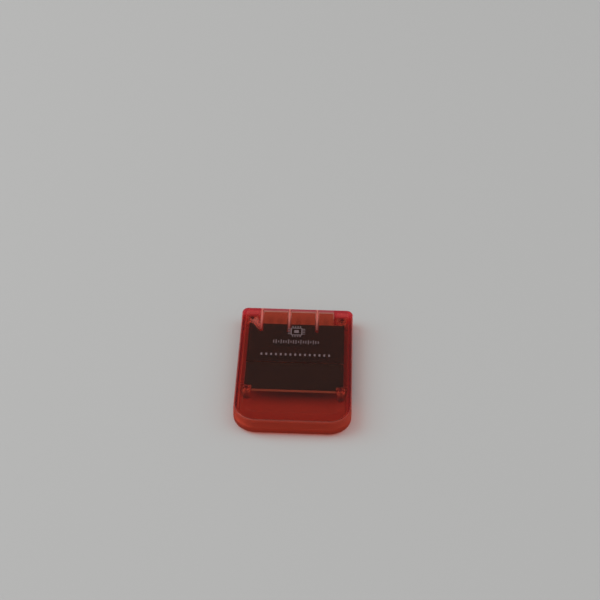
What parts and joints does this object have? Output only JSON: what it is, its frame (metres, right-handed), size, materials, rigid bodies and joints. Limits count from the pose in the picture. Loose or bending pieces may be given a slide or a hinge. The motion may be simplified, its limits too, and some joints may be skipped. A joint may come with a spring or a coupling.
{
  "type": "console memory card",
  "caption": "Flat translucent red memory card for a game console: a moulded case in halves around a dark circuit board, with plated contacts behind ribs in an open end.",
  "frame": {"origin": "middle of the rear face, on which the card lies", "axes": "+X across the card, +Y along its length to the connector end, +Z out of the printed front"},
  "size_m": [0.042, 0.064, 0.0066],
  "materials": {
    "case_red": "clear red moulded plastic, light satin gloss",
    "board_green": "dark green lacquer over laminate",
    "contact_gold": "thin gold plating",
    "chip_black": "moulded epoxy",
    "lead_tin": "tinned",
    "capacitor_tan": "fired ceramic with tinned ends",
    "resistor_black": "glazed film with tinned ends",
    "tantalum_yellow": "moulded resin with a polarity band",
    "resonator_ceramic": "pale ceramic"
  },
  "bodies": {
    "root": {"front_shell": "case_red", "rear_shell": "case_red", "circuit_board": "board_green", "contact_pad_1": "contact_gold", "contact_pad_2": "contact_gold", "contact_pad_3": "contact_gold", "contact_pad_4": "contact_gold", "contact_pad_5": "contact_gold", "contact_pad_6": "contact_gold", "contact_pad_7": "contact_gold", "contact_pad_8": "contact_gold", "controller_chip": "chip_black", "chip_leads": "lead_tin", "capacitor_1": "capacitor_tan", "capacitor_2": "capacitor_tan", "capacitor_3": "capacitor_tan", "capacitor_4": "capacitor_tan", "resistor_1": "resistor_black", "resistor_2": "resistor_black", "resistor_3": "resistor_black", "resistor_4": "resistor_black", "resistor_5": "resistor_black", "tantalum_capacitor": "tantalum_yellow", "ceramic_resonator": "resonator_ceramic", "supply_diode": "chip_black", "voltage_detector": "chip_black"}
  },
  "joints": []
}
